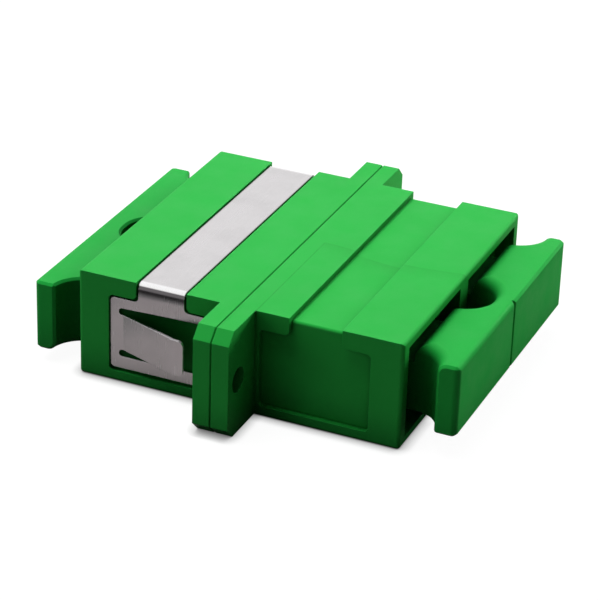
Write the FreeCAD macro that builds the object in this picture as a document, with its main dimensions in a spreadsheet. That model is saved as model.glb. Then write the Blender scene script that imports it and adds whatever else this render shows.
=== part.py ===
# Duplex flanged fibre adapter: two identical housing halves joined at the flange, a spring clip
# that snaps over one half, and a dust plug in each end.  Inside, at the seam, four latch inserts
# trap two split ceramic sleeves.
#
# Frame: X runs along the fibres, Y across the two ports, Z up.  The origin is on the underside,
# in the seam plane, midway between the two ports.

import FreeCAD, Part
import Sketcher
import math
import os

SIZES = {
    # the ports and the wall round them
    "port_pitch": 12.7,
    "plug_width": 9.0,
    "plug_height": 7.4,
    "port_clearance": 0.15,
    "mouth_step": 0.85,
    "mouth_depth": 1.6,
    "side_wall": 1.05,
    "roof_wall": 0.75,
    "keyway_width": 2.6,
    "keyway_depth": 0.45,
    "keyway_stop": 0.45,
    # the flange
    "flange_thick": 1.5,
    "ear_reach": 4.75,
    "ear_chamfer": 0.95,
    "screw_offset": 2.95,
    "screw_hole": 2.1,
    "seam_chamfer": 0.1,
    # the recess for the spring clip
    "recess_rib": 0.35,
    "recess_length": 9.3,
    "recess_side": 0.45,
    "recess_top": 0.4,
    "recess_sill": 0.93,
    "recess_lintel": 1.53,
    "band_offset": 2.5,
    "band_channel": 4.4,
    "recess_corner": 0.4,
    "end_land": 2.65,
    "body_edge": 0.3,
    # the spring clip
    "clip_thick": 0.25,
    "clip_seat": 0.02,
    "clip_bend": 0.25,
    "clip_band": 4.0,
    "clip_band_gap": 0.1,
    "clip_end_gap": 0.05,
    "clip_edge_gap": 0.27,
    "clip_corner": 0.35,
    "clip_neck_corner": 0.4,
    "window_sill": 1.05,
    "window_lintel": 0.85,
    "window_rise": 0.2,
    "window_post": 1.05,
    "window_end": 0.75,
    "slot_width": 0.6,
    "slot_overrun": 0.4,
    "tongue_angle": 20.0,
    "tongue_tip": 0.85,
    "tongue_tip_gap": 0.85,
    "tongue_corner": 0.5,
    # the latch inserts
    "insert_base": 1.5,
    "insert_shoulder": 0.5,
    "insert_fit": 0.1,
    "barrel_wall": 0.55,
    "barrel_lip": 0.6,
    "ferrule_hole": 2.6,
    "arm_thick": 0.7,
    "arm_height": 3.2,
    "arm_clearance": 0.2,
    "hook_gap": 0.95,
    "hook_length": 1.4,
    "hook_flat": 0.5,
    "hook_depth": 0.55,
    # the split sleeves
    "sleeve_length": 11.4,
    "sleeve_outer": 3.2,
    "sleeve_inner": 2.5,
    "sleeve_slit": 0.4,
    "sleeve_chamfer": 0.15,
    "sleeve_gap": 0.05,
    "sleeve_play": 0.15,
    # the dust plugs
    "cup_start": 3.5,
    "cup_setback": 1.9,
    "cup_wall": 0.8,
    "cup_seat": 0.03,
    "neck_width": 7.3,
    "neck_top_step": 0.21,
    "neck_base_step": 1.17,
    "neck_flare": 2.5,
    "neck_edge": 0.8,
    "throat_length": 1.7,
    "throat_drop": 1.7,
    "throat_edge": 1.4,
    "bar_gap": 2.5,
    "bar_thick": 1.8,
    "bar_overhang": 2.4,
    "bar_end_edge": 0.5,
    "bar_base_edge": 0.2,
    "bar_top_edge": 0.2,
    "bar_near_edge": 0.45,
    "groove_width": 0.4,
    "groove_depth": 0.3,
}

# Sizes that follow from the ones above, written as expressions on the sheet.
PORT_W = "(sizes.plug_width + 2 * sizes.port_clearance)"
PORT_H = "(sizes.plug_height + 2 * sizes.port_clearance)"
MOUTH_W = f"({PORT_W} + 2 * sizes.mouth_step)"
BODY_W = f"(sizes.port_pitch + {MOUTH_W} + 2 * sizes.side_wall)"
BODY_H = f"({PORT_H} + 2 * sizes.roof_wall)"
PORT_Y = "(sizes.port_pitch / 2)"
PORT_Z = f"({BODY_H} / 2)"
RECESS_X0 = "(sizes.flange_thick + sizes.recess_rib)"
RECESS_X1 = f"({RECESS_X0} + sizes.recess_length)"
BAND_X0 = f"({RECESS_X0} + sizes.band_offset)"
BAND_X1 = f"({BAND_X0} + sizes.band_channel)"
RECESS_Z1 = f"({BODY_H} - sizes.recess_lintel)"
HALF_L = f"({RECESS_X1} + sizes.end_land)"
SIDE_FLOOR = f"({BODY_W} / 2 - sizes.recess_side)"
TOP_FLOOR = f"({BODY_H} - sizes.recess_top)"
FLANGE_W = f"({BODY_W} + 2 * sizes.ear_reach)"
SCREW_Y = f"({BODY_W} / 2 + sizes.screw_offset)"

CLIP_OUT = f"({SIDE_FLOOR} + sizes.clip_seat + sizes.clip_thick)"
CLIP_TOP = f"({TOP_FLOOR} + sizes.clip_seat + sizes.clip_thick)"
CLIP_X0 = f"({RECESS_X0} + sizes.clip_end_gap)"
CLIP_X1 = f"({RECESS_X1} - sizes.clip_end_gap)"
CLIP_Z0 = "(sizes.recess_sill + sizes.clip_edge_gap)"
CLIP_Z1 = f"({RECESS_Z1} - sizes.clip_edge_gap)"
NECK_X1 = f"({BAND_X1} - sizes.clip_band_gap)"
NECK_X0 = f"({NECK_X1} - sizes.clip_band)"
WINDOW_X0 = f"({CLIP_X0} + sizes.window_post)"
WINDOW_Z0 = f"({CLIP_Z0} + sizes.window_sill)"
WINDOW_Z1 = f"({CLIP_Z1} - sizes.window_lintel)"
SLOT_X1 = f"({CLIP_X1} - sizes.window_end)"
ROOT_X = f"({SLOT_X1} - sizes.slot_overrun)"
TONGUE_Z0 = f"({WINDOW_Z0} + sizes.slot_width)"
TONGUE_Z1 = f"({WINDOW_Z1} - sizes.slot_width)"
TIP_X = f"({WINDOW_X0} + sizes.tongue_tip_gap)"
BEND_X = f"({TIP_X} + sizes.tongue_tip)"
TONGUE_RISE = f"(({ROOT_X} - {BEND_X}) * tan(sizes.tongue_angle * 1deg))"
FOLD_SHIFT = "(sizes.clip_thick * tan(sizes.tongue_angle * 0.5deg))"

BARREL_BORE = "(sizes.sleeve_outer / 2 + sizes.sleeve_gap)"
BARREL_R = f"({BARREL_BORE} + sizes.barrel_wall)"
BORE_DEPTH = "(sizes.sleeve_length / 2 + sizes.sleeve_play)"
BARREL_L = f"({BORE_DEPTH} + sizes.barrel_lip)"
ARM_OUT = "(sizes.plug_width / 2 - sizes.cup_wall - sizes.arm_clearance)"
ARM_IN = f"({ARM_OUT} - sizes.arm_thick)"
HOOK_X0 = f"({BARREL_L} + sizes.hook_gap)"
HOOK_X1 = f"({HOOK_X0} + sizes.hook_length)"

CUP_X0 = "(sizes.insert_base + sizes.cup_start)"
CUP_X1 = f"({HALF_L} - sizes.cup_setback)"
PLUG_Z = "(sizes.roof_wall + sizes.cup_seat + sizes.plug_height / 2)"
NECK_Z0 = "(sizes.neck_base_step - sizes.plug_height / 2)"
NECK_Z1 = "(sizes.plug_height / 2 - sizes.neck_top_step)"
NECK_Y0 = f"({PORT_Y} - sizes.neck_width / 2)"
NECK_Y1 = f"({PORT_Y} + sizes.neck_width / 2)"
BAR_X0 = f"({HALF_L} + sizes.bar_gap)"
BAR_X1 = f"({BAR_X0} + sizes.bar_thick)"
BAR_Y = f"({NECK_Y1} + sizes.bar_overhang)"
FLARE_R = f"min(sizes.neck_flare; {NECK_Y0} - 0.1)"

TOLERANCE = 1e-4
UPRIGHT = FreeCAD.Rotation()
HALF_TURN = FreeCAD.Rotation(FreeCAD.Vector(0, 0, 1), 180)
UPSIDE_DOWN = FreeCAD.Rotation(FreeCAD.Vector(0, 1, 0), 180)

doc = FreeCAD.newDocument("fibre_adapter")
sheet = doc.addObject("Spreadsheet::Sheet", "sizes")
for row, (alias, size) in enumerate(SIZES.items(), start=1):
    sheet.set(f"A{row}", alias)
    sheet.set(f"B{row}", str(size))
    sheet.setAlias(f"B{row}", alias)
doc.recompute()


def value_of(expression):
    """The size in millimetres that an expression gives now."""
    return float(sheet.evalExpression(expression))


def new_body(label, rotation, y="0", z="0"):
    """A sub-part of its own, turned and then placed."""
    body = doc.addObject("PartDesign::Body", label)
    body.Label = label
    body.Placement = FreeCAD.Placement(FreeCAD.Vector(), rotation)
    body.setExpression("Placement.Base.y", y)
    body.setExpression("Placement.Base.z", z)
    return body


def new_sketch(body, name, plane, offset="0"):
    """A sketch on one of the body's own planes, moved along that plane's normal."""
    sketch = body.newObject("Sketcher::SketchObject", name)
    support = next(f for f in body.Origin.OriginFeatures if f.Role == plane)
    sketch.AttachmentSupport = [(support, "")]
    sketch.MapMode = "FlatFace"
    sketch.setExpression("AttachmentOffset.Base.z", offset)
    return sketch


def constrain(sketch, *terms):
    """Add a constraint; a size in it is an expression and stays bound to the sheet."""
    expression = terms[-1] if isinstance(terms[-1], str) else None
    if expression is None:
        sketch.addConstraint(Sketcher.Constraint(*terms))
        return
    index = sketch.addConstraint(Sketcher.Constraint(*terms[:-1], value_of(expression)))
    sketch.setExpression(f"Constraints[{index}]", expression)


def corner_arc(before, corner, after, radius):
    """Where the arc of a rounded corner starts, passes and ends."""
    back = (before - corner).normalize()
    onward = (after - corner).normalize()
    bisector = (back + onward).normalize()
    half_angle = back.getAngle(onward) / 2
    centre = corner + bisector * (radius / math.sin(half_angle))
    reach = radius / math.tan(half_angle)
    return corner + back * reach, centre - bisector * radius, corner + onward * reach


def outline(sketch, corners):
    """A closed outline whose corners are (x, y), or (x, y, radius) where they are rounded."""
    points = [FreeCAD.Vector(value_of(c[0]), value_of(c[1]), 0) for c in corners]
    count = len(points)
    arcs = {}
    for i, corner in enumerate(corners):
        if len(corner) == 3:
            following = points[(i + 1) % count]
            arcs[i] = corner_arc(points[i - 1], points[i], following, value_of(corner[2]))
    sides = []
    for i in range(count):
        j = (i + 1) % count
        start = arcs[i][2] if i in arcs else points[i]
        end = arcs[j][0] if j in arcs else points[j]
        sides.append(sketch.addGeometry(Part.LineSegment(start, end), False))
    for i, corner in enumerate(corners):
        arriving, leaving = sides[i - 1], sides[i]
        mark = sketch.addGeometry(Part.Point(points[i]), True)
        constrain(sketch, "DistanceX", -1, 1, mark, 1, corner[0])
        constrain(sketch, "DistanceY", -1, 1, mark, 1, corner[1])
        if i not in arcs:
            constrain(sketch, "Coincident", arriving, 2, mark, 1)
            constrain(sketch, "Coincident", leaving, 1, mark, 1)
            continue
        arc = sketch.addGeometry(Part.Arc(*arcs[i]), False)
        turns_left = sketch.getPoint(arc, 1).distanceToPoint(arcs[i][0]) < TOLERANCE
        first, last = (1, 2) if turns_left else (2, 1)
        constrain(sketch, "PointOnObject", mark, 1, arriving)
        constrain(sketch, "PointOnObject", mark, 1, leaving)
        constrain(sketch, "Tangent", arriving, 2, arc, first)
        constrain(sketch, "Tangent", leaving, 1, arc, last)
        constrain(sketch, "Radius", arc, corner[2])


def rectangle(sketch, x0, y0, x1, y1):
    outline(sketch, [(x0, y0), (x1, y0), (x1, y1), (x0, y1)])


def centred_rectangle(sketch, x, y, width, height):
    rectangle(sketch, f"{x} - {width} / 2", f"{y} - {height} / 2",
              f"{x} + {width} / 2", f"{y} + {height} / 2")


def circle(sketch, x, y, radius):
    centre = FreeCAD.Vector(value_of(x), value_of(y), 0)
    normal = FreeCAD.Vector(0, 0, 1)
    ring = sketch.addGeometry(Part.Circle(centre, normal, value_of(radius)), False)
    constrain(sketch, "DistanceX", -1, 1, ring, 3, x)
    constrain(sketch, "DistanceY", -1, 1, ring, 3, y)
    constrain(sketch, "Radius", ring, radius)


def pad(body, name, sketch, length, both_ways=False):
    """Raise the sketch along its normal, or half the length each way."""
    feature = body.newObject("PartDesign::Pad", name)
    feature.Profile = sketch
    feature.SideType = "Symmetric" if both_ways else "One side"
    feature.setExpression("Length", length)
    doc.recompute()


def pocket(body, name, sketch, depth, forward=False, both_ways=False):
    """Cut the sketch's area against its normal, along it, or half the depth each way."""
    before = body.Shape.Volume
    feature = body.newObject("PartDesign::Pocket", name)
    feature.Profile = sketch
    feature.Reversed = forward
    feature.SideType = "Symmetric" if both_ways else "One side"
    feature.setExpression("Length", depth)
    doc.recompute()
    if body.Shape.Volume > before - TOLERANCE:
        raise RuntimeError(f"{name} cuts nothing from {body.Label}")


def lies_on(edge, x=None, y=None, z=None):
    """Whether an edge has these coordinates at its ends and middle; y counts on either side."""
    middle = edge.valueAt((edge.FirstParameter + edge.LastParameter) / 2)
    for point in [vertex.Point for vertex in edge.Vertexes] + [middle]:
        if x is not None and abs(point.x - x) > TOLERANCE:
            return False
        if y is not None and abs(abs(point.y) - y) > TOLERANCE:
            return False
        if z is not None and abs(point.z - z) > TOLERANCE:
            return False
    return True


def soften(body, name, kind, size, chosen):
    """Fillet or chamfer the body's edges that the test chooses."""
    base = body.Tip
    names = [f"Edge{i}" for i, edge in enumerate(base.Shape.Edges, start=1) if chosen(edge)]
    if not names:
        raise RuntimeError(f"{name} finds no edge on {body.Label}")
    feature = body.newObject(f"PartDesign::{kind}", name)
    feature.Base = (base, names)
    feature.setExpression("Radius" if kind == "Fillet" else "Size", size)
    doc.recompute()
    if not (feature.isValid() and body.Shape.isValid()):
        raise RuntimeError(f"{name} fails on {body.Label}")


def housing_half(label, rotation):
    """One moulding, used twice: half the flange, the trunk round both ports, the recess."""
    body = new_body(label, rotation)
    half_l, half_w, height = value_of(HALF_L), value_of(BODY_W) / 2, value_of(BODY_H)
    ear_y = value_of(FLANGE_W) / 2

    ears = new_sketch(body, "ears", "YZ_Plane")
    tip, bevel = f"{FLANGE_W} / 2", "sizes.ear_chamfer"
    outline(ears, [
        (f"{bevel} - {tip}", "0"), (f"{tip} - {bevel}", "0"),
        (tip, bevel), (tip, f"{BODY_H} - {bevel}"),
        (f"{tip} - {bevel}", BODY_H), (f"{bevel} - {tip}", BODY_H),
        (f"-{tip}", f"{BODY_H} - {bevel}"), (f"-{tip}", bevel),
    ])
    for sign in ("", "-"):
        circle(ears, sign + SCREW_Y, PORT_Z, "sizes.screw_hole / 2")
    pad(body, "flange", ears, "sizes.flange_thick")

    block = new_sketch(body, "block", "YZ_Plane")
    rectangle(block, f"-{BODY_W} / 2", "0", f"{BODY_W} / 2", BODY_H)
    pad(body, "trunk", block, HALF_L)

    def on_seam_rim(edge):
        straight = len(edge.Vertexes) == 2
        outside = all(abs(v.Y) > ear_y - TOLERANCE or v.Z < TOLERANCE
                      or v.Z > height - TOLERANCE for v in edge.Vertexes)
        return straight and outside and lies_on(edge, x=0)

    def on_end_or_base(edge):
        at_end = lies_on(edge, x=half_l)
        along_base = lies_on(edge, y=half_w, z=0) and edge.Length > half_l / 2
        return at_end or along_base

    soften(body, "seam_bevel", "Chamfer", "sizes.seam_chamfer", on_seam_rim)
    soften(body, "outer_edges", "Fillet", "sizes.body_edge", on_end_or_base)

    openings = [
        ("port", "0", PORT_W, PORT_H, HALF_L),
        ("insert_pocket", "0", f"({PORT_W} + 2 * (sizes.insert_shoulder + sizes.insert_fit))",
         PORT_H, "sizes.insert_base"),
    ]
    for name, start, width, tall, depth in openings:
        sketch = new_sketch(body, f"{name}_outline", "YZ_Plane", start)
        for sign in ("", "-"):
            centred_rectangle(sketch, sign + PORT_Y, PORT_Z, width, tall)
        pocket(body, name, sketch, depth, forward=True)

    mouth = new_sketch(body, "mouth_outline", "YZ_Plane", HALF_L)
    keyway = new_sketch(body, "keyway_outline", "YZ_Plane", HALF_L)
    for sign in ("", "-"):
        centred_rectangle(mouth, sign + PORT_Y, PORT_Z, MOUTH_W, PORT_H)
        rectangle(keyway, f"{sign}{PORT_Y} - sizes.keyway_width / 2",
                  "sizes.roof_wall - sizes.keyway_depth",
                  f"{sign}{PORT_Y} + sizes.keyway_width / 2", PORT_Z)
    pocket(body, "mouth", mouth, "sizes.mouth_depth")
    pocket(body, "keyway", keyway, f"{HALF_L} - {BAND_X1} - sizes.keyway_stop")

    band = new_sketch(body, "band_outline", "XY_Plane", BODY_H)
    rectangle(band, BAND_X0, f"-{BODY_W} / 2 - 1", BAND_X1, f"{BODY_W} / 2 + 1")
    pocket(body, "band_groove", band, "sizes.recess_top")
    for side, offset, forward in (("near", f"{BODY_W} / 2", False),
                                  ("far", f"-{BODY_W} / 2", True)):
        recess = new_sketch(body, f"{side}_recess_outline", "XZ_Plane", offset)
        corner = "sizes.recess_corner"
        outline(recess, [
            (RECESS_X0, "sizes.recess_sill", corner), (RECESS_X1, "sizes.recess_sill", corner),
            (RECESS_X1, RECESS_Z1, corner), (BAND_X1, RECESS_Z1, corner),
            (BAND_X1, f"{BODY_H} + 1"), (BAND_X0, f"{BODY_H} + 1"),
            (BAND_X0, RECESS_Z1, corner), (RECESS_X0, RECESS_Z1, corner),
        ])
        pocket(body, f"{side}_recess", recess, "sizes.recess_side", forward=forward)

    side_floor, top_floor = value_of(SIDE_FLOOR), value_of(TOP_FLOOR)
    soften(body, "band_corners", "Fillet", "sizes.clip_bend - sizes.clip_seat",
           lambda edge: lies_on(edge, y=side_floor, z=top_floor))
    return body


def panel_clip(label, rotation):
    """One strip of spring steel: a band over the top, a plate and a sprung tongue each side."""
    body = new_body(label, rotation)
    thick = "sizes.clip_thick"

    strip = new_sketch(body, "strip", "YZ_Plane", CLIP_X0)
    bend, inner_top = "sizes.clip_bend", f"{CLIP_TOP} - {thick}"
    outline(strip, [
        (f"-{CLIP_OUT}", CLIP_Z0), (f"-{CLIP_OUT} + {thick}", CLIP_Z0),
        (f"-{CLIP_OUT} + {thick}", inner_top, bend), (f"{CLIP_OUT} - {thick}", inner_top, bend),
        (f"{CLIP_OUT} - {thick}", CLIP_Z0), (CLIP_OUT, CLIP_Z0),
        (CLIP_OUT, CLIP_TOP, f"{bend} + {thick}"), (f"-{CLIP_OUT}", CLIP_TOP, f"{bend} + {thick}"),
    ])
    pad(body, "folded_strip", strip, f"{CLIP_X1} - {CLIP_X0}")

    blank = new_sketch(body, "blank", "XZ_Plane")
    rectangle(blank, f"{CLIP_X0} - 1", f"{CLIP_Z0} - 1", f"{CLIP_X1} + 1", f"{CLIP_TOP} + 2")
    corner, neck_corner = "sizes.clip_corner", "sizes.clip_neck_corner"
    outline(blank, [
        (CLIP_X0, CLIP_Z0, corner), (CLIP_X1, CLIP_Z0, corner),
        (CLIP_X1, CLIP_Z1, corner), (NECK_X1, CLIP_Z1, neck_corner),
        (NECK_X1, f"{CLIP_TOP} + 1"), (NECK_X0, f"{CLIP_TOP} + 1"),
        (NECK_X0, CLIP_Z1, neck_corner), (CLIP_X0, CLIP_Z1, corner),
    ])
    pocket(body, "trimmed_blank", blank, f"2 * {CLIP_OUT} + 2", both_ways=True)

    window = new_sketch(body, "window_outline", "XZ_Plane")
    round_end = "0.48 * sizes.slot_width"
    outline(window, [
        (WINDOW_X0, WINDOW_Z0), (SLOT_X1, WINDOW_Z0, round_end),
        (SLOT_X1, TONGUE_Z0, round_end), (ROOT_X, TONGUE_Z0),
        (ROOT_X, TONGUE_Z1), (SLOT_X1, TONGUE_Z1, round_end),
        (SLOT_X1, WINDOW_Z1, round_end), (WINDOW_X0, f"{WINDOW_Z1} + sizes.window_rise"),
    ])
    pocket(body, "window", window, f"2 * {CLIP_OUT} + 2", both_ways=True)

    tongue = new_sketch(body, "tongue_outline", "XY_Plane", f"({TONGUE_Z0} + {TONGUE_Z1}) / 2")
    for sign in (1, -1):
        outline(tongue, [
            (f"{ROOT_X} + 0.2", f"{sign} * ({CLIP_OUT} - {thick})"),
            (f"{ROOT_X} - {FOLD_SHIFT}", f"{sign} * ({CLIP_OUT} - {thick})"),
            (f"{BEND_X} - {FOLD_SHIFT}", f"{sign} * ({CLIP_OUT} + {TONGUE_RISE} - {thick})"),
            (TIP_X, f"{sign} * ({CLIP_OUT} + {TONGUE_RISE} - {thick})"),
            (TIP_X, f"{sign} * ({CLIP_OUT} + {TONGUE_RISE})"),
            (BEND_X, f"{sign} * ({CLIP_OUT} + {TONGUE_RISE})"),
            (ROOT_X, f"{sign} * {CLIP_OUT}"),
            (f"{ROOT_X} + 0.2", f"{sign} * {CLIP_OUT}"),
        ])
    pad(body, "tongues", tongue, f"{TONGUE_Z1} - {TONGUE_Z0}", both_ways=True)

    tip_x, low, high = value_of(TIP_X), value_of(TONGUE_Z0), value_of(TONGUE_Z1)
    soften(body, "tongue_tips", "Fillet", "sizes.tongue_corner",
           lambda edge: lies_on(edge, x=tip_x, z=low) or lies_on(edge, x=tip_x, z=high))
    return body


def latch_insert(label, rotation, y):
    """Base plate at the seam, barrel round the sleeve, and two hooked latch arms."""
    body = new_body(label, rotation, y, PORT_Z)

    base = new_sketch(body, "base_outline", "YZ_Plane")
    centred_rectangle(base, "0", "0", f"({PORT_W} + 2 * sizes.insert_shoulder)",
                      f"({PORT_H} - 2 * sizes.insert_fit)")
    pad(body, "base_plate", base, "sizes.insert_base")

    tube = new_sketch(body, "barrel_outline", "YZ_Plane")
    circle(tube, "0", "0", BARREL_R)
    pad(body, "barrel", tube, BARREL_L)

    arms = new_sketch(body, "arm_outline", "XY_Plane")
    for sign in (1, -1):
        outline(arms, [
            ("0", f"{sign} * {ARM_OUT}"), ("0", f"{sign} * {ARM_IN}"),
            (HOOK_X0, f"{sign} * {ARM_IN}"),
            (HOOK_X0, f"{sign} * ({ARM_IN} - sizes.hook_depth)"),
            (f"{HOOK_X0} + sizes.hook_flat", f"{sign} * ({ARM_IN} - sizes.hook_depth)"),
            (HOOK_X1, f"{sign} * {ARM_IN}"), (HOOK_X1, f"{sign} * {ARM_OUT}"),
        ])
    pad(body, "latch_arms", arms, "sizes.arm_height", both_ways=True)

    bore = new_sketch(body, "sleeve_bore_outline", "YZ_Plane")
    circle(bore, "0", "0", BARREL_BORE)
    pocket(body, "sleeve_bore", bore, BORE_DEPTH, forward=True)
    hole = new_sketch(body, "ferrule_hole_outline", "YZ_Plane")
    circle(hole, "0", "0", "sizes.ferrule_hole / 2")
    pocket(body, "ferrule_hole", hole, f"{BARREL_L} + 1", forward=True)

    barrel_l = value_of(BARREL_L)
    soften(body, "barrel_nose", "Chamfer", "sizes.barrel_lip / 2",
           lambda edge: lies_on(edge, x=barrel_l) and edge.Length > 6 * value_of(BARREL_R))
    return body


def split_sleeve(label, rotation, y):
    """A ceramic tube with one slit along it, chamfered at both ends."""
    body = new_body(label, rotation, y, PORT_Z)
    wall = new_sketch(body, "wall_outline", "YZ_Plane")
    circle(wall, "0", "0", "sizes.sleeve_outer / 2")
    circle(wall, "0", "0", "sizes.sleeve_inner / 2")
    pad(body, "tube", wall, "sizes.sleeve_length", both_ways=True)
    outer = value_of("sizes.sleeve_outer")
    soften(body, "ends", "Chamfer", "sizes.sleeve_chamfer",
           lambda edge: len(edge.Vertexes) == 1 and edge.Length > 3.1 * outer)
    slit = new_sketch(body, "slit_outline", "XY_Plane", "sizes.sleeve_outer")
    centred_rectangle(slit, "0", "0", "(sizes.sleeve_length + 1)", "sizes.sleeve_slit")
    pocket(body, "slit", slit, "sizes.sleeve_outer")
    return body


def dust_plug(label, rotation):
    """One moulding: a hollow cup for each port, two necks that flare into a finger bar."""
    body = new_body(label, rotation, "0", PLUG_Z)

    tall = f"{NECK_Z1} - {NECK_Z0}"
    block = new_sketch(body, "block", "XY_Plane", NECK_Z0)
    rectangle(block, CUP_X1, f"-{BAR_Y}", BAR_X1, BAR_Y)
    pad(body, "bar_block", block, tall)

    notches = new_sketch(body, "notches", "XY_Plane", f"{NECK_Z1} + 1")
    outline(notches, [
        (f"{CUP_X1} - 1", f"-{NECK_Y0}"), (BAR_X0, f"-{NECK_Y0}", FLARE_R),
        (BAR_X0, NECK_Y0, FLARE_R), (f"{CUP_X1} - 1", NECK_Y0),
    ])
    for sign in (1, -1):
        outline(notches, [
            (f"{CUP_X1} - 1", f"{sign} * {NECK_Y1}"), (BAR_X0, f"{sign} * {NECK_Y1}", FLARE_R),
            (BAR_X0, f"{sign} * ({BAR_Y} + 2)"), (f"{CUP_X1} - 1", f"{sign} * ({BAR_Y} + 2)"),
        ])
    pocket(body, "necks", notches, f"{tall} + 2")

    cup_x1, bar_x0 = value_of(CUP_X1), value_of(BAR_X0)
    bar_x1, bar_y = value_of(BAR_X1), value_of(BAR_Y)
    low, high = value_of(NECK_Z0), value_of(NECK_Z1)
    soften(body, "bar_ends", "Fillet", "sizes.bar_end_edge",
           lambda edge: lies_on(edge, x=bar_x1, y=bar_y))
    soften(body, "neck_edges", "Fillet", "sizes.neck_edge",
           lambda edge: lies_on(edge, z=high) and cup_x1 < edge.CenterOfMass.x < bar_x0
           and not lies_on(edge, y=bar_y))
    soften(body, "base_edges", "Chamfer", "sizes.bar_base_edge",
           lambda edge: lies_on(edge, z=low) and not lies_on(edge, x=cup_x1))
    soften(body, "top_edges", "Chamfer", "sizes.bar_top_edge",
           lambda edge: lies_on(edge, x=bar_x1, z=high))

    throat = new_sketch(body, "throat_outline", "XZ_Plane")
    throat_x1, throat_z = f"{CUP_X1} + sizes.throat_length", f"{NECK_Z1} - sizes.throat_drop"
    outline(throat, [
        (f"{CUP_X1} - 1", throat_z), (throat_x1, throat_z), (throat_x1, NECK_Z1, "sizes.throat_edge"),
        (f"{throat_x1} + 2 * sizes.throat_edge", NECK_Z1),
        (f"{throat_x1} + 2 * sizes.throat_edge", f"{NECK_Z1} + 1"), (f"{CUP_X1} - 1", f"{NECK_Z1} + 1"),
    ])
    pocket(body, "throat", throat, f"2 * {BAR_Y} + 2", both_ways=True)

    near_edge = new_sketch(body, "near_edge_outline", "XZ_Plane")
    outline(near_edge, [
        (f"{BAR_X1} - sizes.bar_thick / 2", NECK_Z1), (BAR_X1, NECK_Z1, "sizes.bar_near_edge"),
        (BAR_X1, f"{NECK_Z1} - sizes.bar_thick / 2"), (f"{BAR_X1} + 1", f"{NECK_Z1} - sizes.bar_thick / 2"),
        (f"{BAR_X1} + 1", f"{NECK_Z1} + 1"), (f"{BAR_X1} - sizes.bar_thick / 2", f"{NECK_Z1} + 1"),
    ])
    pocket(body, "near_edge", near_edge, f"{BAR_Y} + 1", forward=True)

    groove = new_sketch(body, "groove_outline", "XY_Plane", f"{NECK_Z1} + 1")
    flank = "(sizes.groove_width / 2 * (1 + 1 / sizes.groove_depth))"
    outline(groove, [
        (f"{BAR_X1} - sizes.groove_depth", "0"),
        (f"{BAR_X1} + 1", f"-{flank}"), (f"{BAR_X1} + 1", flank),
    ])
    pocket(body, "bar_groove", groove, f"{tall} + 2")

    cups = new_sketch(body, "cup_outline", "YZ_Plane", CUP_X0)
    hollow = new_sketch(body, "hollow_outline", "YZ_Plane", CUP_X0)
    for sign in ("", "-"):
        centred_rectangle(cups, sign + PORT_Y, "0", "sizes.plug_width", "sizes.plug_height")
        centred_rectangle(hollow, sign + PORT_Y, "0", "(sizes.plug_width - 2 * sizes.cup_wall)",
                          "(sizes.plug_height - 2 * sizes.cup_wall)")
    pad(body, "cups", cups, f"{CUP_X1} - {CUP_X0}")
    pocket(body, "cup_hollows", hollow, f"{CUP_X1} - {CUP_X0} - sizes.cup_wall", forward=True)
    return body


pieces = [
    housing_half("housing_clip_side", HALF_TURN),
    housing_half("housing_plain_side", UPRIGHT),
    panel_clip("panel_clip", HALF_TURN),
    latch_insert("latch_insert_clip_near", HALF_TURN, f"-{PORT_Y}"),
    latch_insert("latch_insert_clip_far", HALF_TURN, PORT_Y),
    latch_insert("latch_insert_plain_near", UPRIGHT, f"-{PORT_Y}"),
    latch_insert("latch_insert_plain_far", UPRIGHT, PORT_Y),
    split_sleeve("split_sleeve_near", UPRIGHT, f"-{PORT_Y}"),
    split_sleeve("split_sleeve_far", UPRIGHT, PORT_Y),
    dust_plug("dust_plug_clip_side", UPSIDE_DOWN),
    dust_plug("dust_plug_plain_side", UPRIGHT),
]
doc.recompute()

for item in doc.Objects:
    if "Invalid" in item.State or "Error" in item.State:
        raise RuntimeError(f"{item.Name} failed to build: {item.State}")
for piece in pieces:
    if piece.Shape.isNull() or not piece.Shape.isValid() or len(piece.Shape.Solids) != 1:
        raise RuntimeError(f"{piece.Label} is not one valid solid")

os.makedirs("parts", exist_ok=True)
for piece in pieces:
    piece.Shape.exportStep(f"parts/{piece.Label}.step")
    box = piece.Shape.BoundBox
    print(f"{piece.Label:26s} {piece.Shape.Volume:9.2f} mm3  "
          f"x {box.XMin:7.2f} {box.XMax:7.2f}  y {box.YMin:7.2f} {box.YMax:7.2f}  "
          f"z {box.ZMin:6.2f} {box.ZMax:6.2f}")
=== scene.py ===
import math

import bpy
from mathutils import Matrix, Vector


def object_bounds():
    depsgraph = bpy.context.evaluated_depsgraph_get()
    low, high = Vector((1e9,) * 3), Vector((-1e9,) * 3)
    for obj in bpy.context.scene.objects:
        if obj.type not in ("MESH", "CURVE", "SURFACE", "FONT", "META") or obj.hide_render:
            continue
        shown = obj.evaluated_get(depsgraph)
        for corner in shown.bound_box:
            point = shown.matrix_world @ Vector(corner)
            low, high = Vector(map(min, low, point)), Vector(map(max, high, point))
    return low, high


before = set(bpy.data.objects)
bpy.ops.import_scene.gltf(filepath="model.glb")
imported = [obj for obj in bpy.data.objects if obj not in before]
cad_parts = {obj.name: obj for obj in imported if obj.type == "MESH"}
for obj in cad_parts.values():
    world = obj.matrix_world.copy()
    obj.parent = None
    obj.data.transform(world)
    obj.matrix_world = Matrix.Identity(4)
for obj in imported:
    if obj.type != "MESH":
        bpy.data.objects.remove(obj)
cad_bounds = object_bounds()

MM = 0.001

# Sockets of the Mix node when it mixes colours.
MIX_FACTOR, MIX_A, MIX_B, MIX_RESULT = 0, 6, 7, 2


# Node helpers


def empty_tree(owner):
    """The emptied node tree of a material or a world."""
    owner.use_nodes = True
    owner.node_tree.nodes.clear()
    return owner.node_tree


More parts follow.
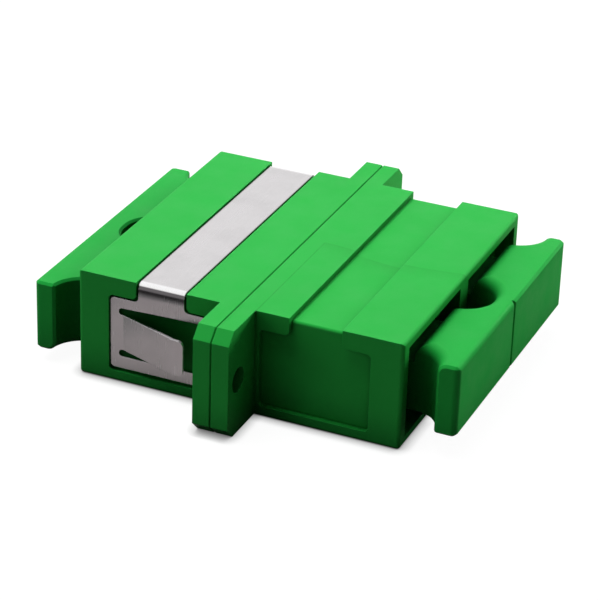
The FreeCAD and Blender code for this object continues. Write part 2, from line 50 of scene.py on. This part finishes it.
def node(tree, kind, inputs=None, **settings):
    """A shader node: an input that is a socket is linked, and any other value is set."""
    made = tree.nodes.new("ShaderNode" + kind)
    for key, value in settings.items():
        setattr(made, key, value)
    for key, value in (inputs or {}).items():
        if isinstance(value, bpy.types.NodeSocket):
            tree.links.new(value, made.inputs[key])
        else:
            made.inputs[key].default_value = value
    return made


def noise(tree, vector, scale, detail=2.0, roughness=0.5):
    inputs = {"Vector": vector, "Scale": scale, "Detail": detail, "Roughness": roughness}
    return node(tree, "TexNoise", inputs).outputs["Fac"]


def spread(tree, value, low, high, to_low=0.0, to_high=1.0):
    """The value mapped from low..high to to_low..to_high, and held at the ends."""
    inputs = {
        "Value": value,
        "From Min": low,
        "From Max": high,
        "To Min": to_low,
        "To Max": to_high,
    }
    return node(tree, "MapRange", inputs).outputs["Result"]


def maths(tree, operation, a, b=0.0):
    return node(tree, "Math", {0: a, 1: b}, operation=operation).outputs[0]


def product(tree, first, *others):
    for other in others:
        first = maths(tree, "MULTIPLY", first, other)
    return first


def between(tree, value, low, high):
    """1 from low to high, and 0 outside."""
    return product(
        tree,
        maths(tree, "LESS_THAN", value, high),
        maths(tree, "GREATER_THAN", value, low),
    )


def mix_colour(tree, factor, a, b):
    inputs = {MIX_FACTOR: factor, MIX_A: a, MIX_B: b}
    return node(tree, "Mix", inputs, data_type="RGBA").outputs[MIX_RESULT]


def part_place(tree):
    """The place on the part, in metres in its own frame."""
    return node(tree, "TexCoord").outputs["Object"]


def axes(tree, vector):
    return node(tree, "SeparateXYZ", {"Vector": vector}).outputs


def stretched(tree, vector, scale):
    return node(tree, "Mapping", {"Vector": vector, "Scale": scale}).outputs[0]


def bump(tree, height, distance, normal):
    inputs = {"Height": height, "Distance": distance, "Normal": normal}
    return node(tree, "Bump", inputs).outputs["Normal"]


def open_share(tree, reach, samples=8):
    """The share of the directions that nothing blocks within the reach."""
    return node(tree, "AmbientOcclusion", {"Distance": reach}, samples=samples).outputs["AO"]


def edge_mask(tree, radius, gain):
    """The rounded normal, and how far it leaves the flat one: a mask of the outer edges."""
    rounded = node(tree, "Bevel", {"Radius": radius}, samples=6).outputs["Normal"]
    flat = node(tree, "NewGeometry").outputs["Normal"]
    turned = node(tree, "VectorMath", {0: rounded, 1: flat}, operation="DOT_PRODUCT")
    return rounded, spread(tree, turned.outputs["Value"], 1.0, 1.0 - gain)


def finished(name, make_shader):
    """A material of the given name, whose tree make_shader fills."""
    material = bpy.data.materials.new(name)
    tree = empty_tree(material)
    node(tree, "OutputMaterial", {"Surface": make_shader(tree)})
    return material


# Moulded plastic. Scales of noise are cycles per metre.


FLOW_SCALE, GRAIN_SCALE, SINK_SCALE, SMUDGE_SCALE = 140.0, 7500.0, 260.0, 420.0
GRAIN_HEIGHT, SINK_HEIGHT = 0.0035 * MM, 0.012 * MM
PLASTIC_ROUGHNESS = 0.46, 0.60
# Hollows and seams get painted shade, found by the share of directions left open within a reach.
# Each is darkest at or under its deepest open share, and a seam's painted shade is gone at
# SEAM_END.
HOLLOW_REACH, HOLLOW_DEEPEST = 5.0 * MM, 0.25
SEAM_REACH, SEAM_DEEPEST, SEAM_END, SEAM_SHARE = 0.32 * MM, 0.35, 0.85, 0.85

WITNESS_GREEN = (0.006, 0.20, 0.018, 1)
# Painted shade on the recess wall behind the clip's plate.
CLIP_SHADE_GREEN = (0.002, 0.03, 0.006, 1)
HOLLOW_SHADE_GREEN = (0.001, 0.065, 0.008, 1)
SEAM_SHADE_GREEN = (0.001, 0.10, 0.006, 1)
SHEEN_TINT = (0.3, 1.0, 0.4, 1)


def witness_line(tree, place):
    """The faint line that a mould insert leaves on the plain half's top: close beside the flange,
    then in a slow wave along the trunk, with a soft shade on one side."""
    flange_side, flange_share = 1.56 * MM, 0.8
    corner = 0.35 * MM, 0.45 * MM
    wave_start, wave_height = 1.46 * MM, 0.39 * MM
    wave_rate = 424.6  # radians per metre
    wave_side, wave_share = 0.02 * MM, 0.35
    shade_width, shade_share = 1.6 * MM, 0.22
    top = 8.6 * MM

    x, y, z = axes(tree, place)
    beside = maths(tree, "ABSOLUTE", maths(tree, "SUBTRACT", x, flange_side))
    beside = spread(tree, beside, 0.01 * MM, 0.05 * MM, flange_share, 0.0)
    beside = product(tree, beside, spread(tree, y, *corner, 1.0, 0.0))

    turn = product(tree, maths(tree, "SUBTRACT", x, wave_start), wave_rate)
    middle = product(tree, maths(tree, "COSINE", turn), wave_height)
    off = maths(tree, "SUBTRACT", maths(tree, "SUBTRACT", y, middle), wave_side)
    sharp = spread(tree, maths(tree, "ABSOLUTE", off), 0.02 * MM, 0.10 * MM, wave_share, 0.0)
    shade = spread(tree, off, -shade_width, 0.0, 0.0, shade_share)
    shade = product(tree, shade, maths(tree, "LESS_THAN", off, 0.0))
    along = maths(tree, "MAXIMUM", sharp, shade)
    along = product(tree, along, maths(tree, "GREATER_THAN", x, flange_side))

    uneven = spread(tree, noise(tree, place, scale=900.0), 0.3, 0.7, to_low=0.4)
    on_top = maths(tree, "GREATER_THAN", z, top)
    return product(tree, maths(tree, "MAXIMUM", beside, along), uneven, on_top)


def painted_shade_behind_clip(tree, place):
    """Painted shade on the wall of the clip half's side recess, which the clip's plate keeps from
    the light.
    It is darkest away from the flange."""
    wall = 12.3 * MM, 12.5 * MM
    window = 1.0 * MM, 7.6 * MM
    darkest, palest, flange_side = -8.0 * MM, -2.6 * MM, -1.8 * MM

    x, y, z = axes(tree, place)
    on_wall = between(tree, maths(tree, "ABSOLUTE", y), *wall)
    in_window = between(tree, z, *window)
    along = product(
        tree,
        spread(tree, x, darkest, palest, 0.93, 0.35),
        maths(tree, "LESS_THAN", x, flange_side),
    )
    return product(tree, on_wall, in_window, along)


def moulded_plastic(name, skin, rubbed_and_highlit, flow, marked_and_clip_shaded=False, hollow_share=0.95, hollow_end=0.88):
    """A satin moulding: a fine eroded grain, slow sink marks, a deeper flow tone, edges painted a
    little lighter as rubbing and as a painted highlight, and painted shade in hollows and seams.

    hollow_share is how much of the painted shade tone the deepest hollow takes, and hollow_end
    the open share from which a face takes none."""

    def make_shader(tree):
        place = part_place(tree)
        rounded, edges = edge_mask(tree, radius=0.06 * MM, gain=0.22)

        flows = spread(tree, noise(tree, place, FLOW_SCALE, detail=3.0), 0.3, 0.7)
        tone = mix_colour(tree, flows, skin, flow)
        if marked_and_clip_shaded:
            tone = mix_colour(tree, witness_line(tree, place), tone, WITNESS_GREEN)
            # Painted shade on the recess wall behind the clip's plate.
            tone = mix_colour(tree, painted_shade_behind_clip(tree, place), tone, CLIP_SHADE_GREEN)
        # Edges painted lighter: partly rubbing, partly a painted highlight.
        tone = mix_colour(tree, product(tree, edges, 0.8), tone, rubbed_and_highlit)
        # Painted shade in hollows.
        hollow = open_share(tree, HOLLOW_REACH)
        hollow = spread(tree, hollow, HOLLOW_DEEPEST, hollow_end, hollow_share, 0.0)
        tone = mix_colour(tree, hollow, tone, HOLLOW_SHADE_GREEN)
        # Painted shade in seams and creases.
        seam = open_share(tree, SEAM_REACH)
        seam = spread(tree, seam, SEAM_DEEPEST, SEAM_END, SEAM_SHARE, 0.0)
        tone = mix_colour(tree, seam, tone, SEAM_SHADE_GREEN)

        grain = noise(tree, place, GRAIN_SCALE, detail=3.0, roughness=0.6)
        sinks = noise(tree, place, SINK_SCALE, detail=1.0)
        surface = bump(tree, sinks, SINK_HEIGHT, rounded)
        surface = bump(tree, grain, GRAIN_HEIGHT, surface)

        smudge = noise(tree, place, SMUDGE_SCALE, detail=4.0)
        worn = maths(tree, "ADD", smudge, product(tree, grain, 0.5))
        return node(
            tree,
            "BsdfPrincipled",
            {
                "Base Color": tone,
                "Roughness": spread(tree, worn, 0.5, 1.0, *PLASTIC_ROUGHNESS),
                "Normal": surface,
                "IOR": 1.5,
                "Specular IOR Level": 0.25,
                "Specular Tint": SHEEN_TINT,
            },
        ).outputs[0]

    return finished(name, make_shader)


# Spring steel. Its scales are cycles per metre across and along the rolling.


FINE_LINES, BROAD_LINES = (9000.0, 600.0, 600.0), (2200.0, 160.0, 160.0)
STAIN_SCALE, WAVE_SCALE = 330.0, 700.0
FINE_HEIGHT, WAVE_HEIGHT = 0.0005 * MM, 0.004 * MM
STEEL_ROUGHNESS = 0.21, 0.29

STEEL_DULL = (0.70, 0.68, 0.69, 1)
STEEL_CLEAR = (0.735, 0.715, 0.725, 1)
STEEL_STAIN = (0.52, 0.51, 0.515, 1)
STEEL_DARK_REFLECTION = (0.08, 0.07, 0.075, 1)
STEEL_PAINTED_HIGHLIGHT = (0.96, 0.955, 0.96, 1)
STEEL_SEAM_SHADE = (0.01, 0.03, 0.012, 1)

# The bend from the band to a side plate: the height at which the plate starts to curve and how
# fast, the height of a dark reflection painted below the bend, and the crest above it, which
# carries a painted highlight, both up and out.
BEND_START, BEND_RATE = 7.75 * MM, -230.0
DARK_REFLECTION_SPAN = 7.9 * MM, 8.45 * MM
CREST_HEIGHT = 8.84 * MM, 8.90 * MM
CREST_OUTWARD = 12.05 * MM, 12.25 * MM


def rolled_steel(name):
    """Spring strip, rolled along its length, which runs over the top along Y and down each side
    along Z."""

    def make_shader(tree):
        place = part_place(tree)
        rounded, edges = edge_mask(tree, radius=0.08 * MM, gain=0.3)

        fine = noise(tree, stretched(tree, place, FINE_LINES), scale=1.0)
        broad = noise(tree, stretched(tree, place, BROAD_LINES), scale=1.0)
        lines = maths(tree, "ADD", product(tree, fine, 0.6), product(tree, broad, 0.4))
        tone = mix_colour(tree, spread(tree, lines, 0.35, 0.65), STEEL_DULL, STEEL_CLEAR)
        stain = spread(tree, noise(tree, place, STAIN_SCALE, detail=4.0), 0.45, 0.8, to_high=0.35)
        tone = mix_colour(tree, stain, tone, STEEL_STAIN)

        across, height = axes(tree, place)[1:3]
        # A highlight painted along the crest of the bend and on the edges.
        outward = spread(tree, maths(tree, "ABSOLUTE", across), *CREST_OUTWARD)
        painted_crest_highlight = product(tree, outward, spread(tree, height, *CREST_HEIGHT))
        # A dark reflection painted on the plate just below the bend.
        painted_dark_reflection = product(
            tree,
            spread(tree, height, *DARK_REFLECTION_SPAN, to_high=0.88),
            spread(tree, height, *CREST_HEIGHT, 1.0, 0.0),
        )
        tone = mix_colour(tree, painted_dark_reflection, tone, STEEL_DARK_REFLECTION)
        painted_highlight = maths(tree, "MAXIMUM", painted_crest_highlight, product(tree, edges, 0.8))
        tone = mix_colour(tree, painted_highlight, tone, STEEL_PAINTED_HIGHLIGHT)
        # Painted shade in the seams beside the strip.
        seam = spread(tree, open_share(tree, reach=0.3 * MM), 0.35, 0.8, 0.9, 0.0)
        tone = mix_colour(tree, seam, tone, STEEL_SEAM_SHADE)

        past = maths(tree, "MAXIMUM", maths(tree, "SUBTRACT", height, BEND_START), 0.0)
        bow = product(tree, past, past, BEND_RATE)
        waves = noise(tree, place, WAVE_SCALE, detail=1.0)
        surface = bump(tree, bow, 1.0, rounded)
        surface = bump(tree, fine, FINE_HEIGHT, surface)
        surface = bump(tree, waves, WAVE_HEIGHT, surface)
        return node(
            tree,
            "BsdfPrincipled",
            {
                "Base Color": tone,
                "Metallic": 1.0,
                "Roughness": spread(tree, lines, 0.3, 0.7, *STEEL_ROUGHNESS),
                "Normal": surface,
            },
        ).outputs[0]

    return finished(name, make_shader)


# Ceramic


WHEEL_RINGS = (9000.0, 200.0, 200.0)
RING_HEIGHT = 0.0006 * MM
CERAMIC_ROUGHNESS = 0.12, 0.2
CERAMIC_GREY = (0.84, 0.84, 0.81, 1)
CERAMIC_WHITE = (0.88, 0.88, 0.86, 1)
CERAMIC_EDGE = (0.92, 0.92, 0.91, 1)


def ground_ceramic(name):
    """White zirconia, ground round and lapped, with faint rings from the wheel."""

    def make_shader(tree):
        place = part_place(tree)
        rounded, edges = edge_mask(tree, radius=0.04 * MM, gain=0.3)
        rings = noise(tree, stretched(tree, place, WHEEL_RINGS), scale=1.0)
        cloudy = noise(tree, place, scale=500.0)
        tone = mix_colour(tree, cloudy, CERAMIC_GREY, CERAMIC_WHITE)
        tone = mix_colour(tree, product(tree, edges, 0.3), tone, CERAMIC_EDGE)
        return node(
            tree,
            "BsdfPrincipled",
            {
                "Base Color": tone,
                "Roughness": spread(tree, rings, 0.3, 0.7, *CERAMIC_ROUGHNESS),
                "Normal": bump(tree, rings, RING_HEIGHT, rounded),
                "IOR": 2.1,
            },
        ).outputs[0]

    return finished(name, make_shader)


finishes = {
    "housing_plastic": moulded_plastic(
        "housing_plastic",
        skin=(0.026, 0.465, 0.066, 1),
        rubbed_and_highlit=(0.05, 0.70, 0.14, 1),
        flow=(0.025, 0.440, 0.062, 1),
        marked_and_clip_shaded=True,
    ),
    "plug_plastic": moulded_plastic(
        "plug_plastic",
        skin=(0.019, 0.442, 0.061, 1),
        rubbed_and_highlit=(0.036, 0.62, 0.12, 1),
        flow=(0.018, 0.417, 0.057, 1),
        hollow_share=0.85,
        hollow_end=1.0,
    ),
    "insert_plastic": moulded_plastic(
        "insert_plastic",
        skin=(0.018, 0.40, 0.055, 1),
        rubbed_and_highlit=(0.06, 0.52, 0.11, 1),
        flow=(0.016, 0.37, 0.050, 1),
        hollow_share=0.2,
    ),
    "spring_steel": rolled_steel("spring_steel"),
    "ceramic": ground_ceramic("ceramic"),
}

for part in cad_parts.values():
    for held in part.material_slots:
        held.material = finishes[held.material.name.split(".")[0]]


# Studio: a pale floor, four soft lamps that no surface mirrors, and a surrounding that gives
# little light and is there to be mirrored


FLOOR_HALF = 3.0
FLOOR_GAP = 0.01 * MM
FLOOR_PLAIN = (0.15, 0.15, 0.15, 1)
FLOOR_SHOWN = (0.11, 0.11, 0.11, 1)
FLOOR_MIRRORED_CLOSE = (0.36, 0.328, 0.332, 1)
FLOOR_MIRRORED_AWAY = (0.2, 0.2, 0.2, 1)
FLOOR_GLOW, CONTACT_REACH = 0.95, 1.0 * MM
# How far out along X the floor changes, as mirrors see it, from the near tone to the away one.
MIRRORED_CHANGE = 16 * MM, 20 * MM
WORLD_DIM = 0.04
WHITE = (1, 1, 1, 1)

AIM = (0, 0, 0.005)
# Name, place, size and watts.
LAMPS = (
    ("softbox", (-0.12, 0.04, 0.38), (0.32, 0.32), 1.68),
    ("back_box", (-0.25, 0.45, 0.28), (0.26, 0.26), 0.12),
    ("side_box", (0.085, 0.19, 0.045), (0.10, 0.08), 0.445),
    ("front_fill", (-0.25, -0.20, 0.12), (0.26, 0.20), 0.147),
)


def seen(tree):
    """1 for the camera's rays, and 1 for those that a surface mirrors or lets through."""
    path = node(tree, "LightPath").outputs
    mirrored = maths(tree, "MAXIMUM", path["Is Glossy Ray"], path["Is Transmission Ray"])
    return path["Is Camera Ray"], mirrored


def diffuse(tree, colour):
    return node(tree, "BsdfDiffuse", {"Color": colour}).outputs[0]


def floor_shader(tree):
    """White to the camera, with the object's shadow and a painted contact shadow, a close dark
    line where it touches.
    """
    camera, mirrored = seen(tree)
    plain = diffuse(tree, FLOOR_PLAIN)

    along = axes(tree, node(tree, "NewGeometry").outputs["Position"])["X"]
    away = spread(tree, maths(tree, "ABSOLUTE", along), *MIRRORED_CHANGE)
    pale = mix_colour(tree, away, FLOOR_MIRRORED_CLOSE, FLOOR_MIRRORED_AWAY)
    mirror = diffuse(tree, pale)

    shade = diffuse(tree, FLOOR_SHOWN)
    # The glow is dimmed near the object as a painted contact shadow.
    glow = product(tree, open_share(tree, CONTACT_REACH, samples=24), FLOOR_GLOW)
    lift = node(tree, "Emission", {"Color": WHITE, "Strength": glow}).outputs[0]
    shown = node(tree, "AddShader", {0: shade, 1: lift}).outputs[0]

    unseen = node(tree, "MixShader", {0: mirrored, 1: plain, 2: mirror}).outputs[0]
    return node(tree, "MixShader", {0: camera, 1: unseen, 2: shown}).outputs[0]


def make_floor():
    mesh = bpy.data.meshes.new("floor")
    corners = [
        (-FLOOR_HALF, -FLOOR_HALF, 0),
        (FLOOR_HALF, -FLOOR_HALF, 0),
        (FLOOR_HALF, FLOOR_HALF, 0),
        (-FLOOR_HALF, FLOOR_HALF, 0),
    ]
    mesh.from_pydata(corners, [], [(0, 1, 2, 3)])
    mesh.materials.append(finished("pale_floor", floor_shader))
    floor = bpy.data.objects.new("floor", mesh)
    floor.location.z = cad_bounds[0][2] - FLOOR_GAP
    bpy.context.scene.collection.objects.link(floor)


def make_world():
    """White to the camera and dim as light. What mirrors show is white behind and above the
    object, and dark low down in front, where the room is."""
    world = bpy.data.worlds.new("studio")
    tree = empty_tree(world)
    camera, mirrored = seen(tree)
    towards = axes(tree, node(tree, "TexCoord").outputs["Generated"])
    behind = spread(tree, towards["Y"], -0.25, 0.25, to_low=0.06)
    above = spread(tree, towards["Z"], 0.15, 0.45, to_high=0.85)
    leftward = spread(tree, towards["X"], -0.3, 0.0, 1.0, 0.5)
    room = product(tree, maths(tree, "MAXIMUM", behind, above), leftward)
    strength = maths(tree, "MAXIMUM", camera, product(tree, mirrored, room))
    strength = maths(tree, "MAXIMUM", strength, WORLD_DIM)
    light = node(tree, "Background", {"Color": WHITE, "Strength": strength})
    node(tree, "OutputWorld", {"Surface": light.outputs[0]})
    bpy.context.scene.world = world


def make_lamp(name, place, size, watts):
    data = bpy.data.lights.new(name, "AREA")
    data.shape = "RECTANGLE"
    data.size, data.size_y = size
    data.energy = watts
    lamp = bpy.data.objects.new(name, data)
    lamp.location = place
    lamp.visible_glossy = False
    aim = Vector(AIM) - Vector(place)
    lamp.rotation_euler = aim.to_track_quat("-Z", "Y").to_euler()
    bpy.context.scene.collection.objects.link(lamp)


make_floor()
make_world()
for lamp_row in LAMPS:
    make_lamp(*lamp_row)


# Camera, fitted to the straight edges of the object in the photo


AZIMUTH, ELEVATION, ROLL = (math.radians(degrees) for degrees in (22.878, 27.283, 1.936))
CAMERA_RIGHT, CAMERA_UP, CAMERA_BACK = -0.140 * MM, 3.388 * MM, 212.049 * MM
LENS, SENSOR = 154.236, 36.0


def make_camera():
    right = Vector((math.cos(AZIMUTH), math.sin(AZIMUTH), 0))
    back = Vector(
        (
            math.sin(AZIMUTH) * math.cos(ELEVATION),
            -math.cos(AZIMUTH) * math.cos(ELEVATION),
            math.sin(ELEVATION),
        )
    )
    up = back.cross(right)
    tilted_right = math.cos(ROLL) * right + math.sin(ROLL) * up
    tilted_up = math.cos(ROLL) * up - math.sin(ROLL) * right
    place = tilted_right * CAMERA_RIGHT + tilted_up * CAMERA_UP + back * CAMERA_BACK

    data = bpy.data.cameras.new("camera")
    data.sensor_width = SENSOR
    data.lens = LENS
    data.clip_start = 0.01
    camera = bpy.data.objects.new("camera", data)
    turn = Matrix((tilted_right, tilted_up, back)).transposed().to_4x4()
    camera.matrix_world = Matrix.Translation(place) @ turn
    bpy.context.scene.collection.objects.link(camera)
    bpy.context.scene.camera = camera


make_camera()
bpy.context.scene.view_settings.view_transform = "Standard"
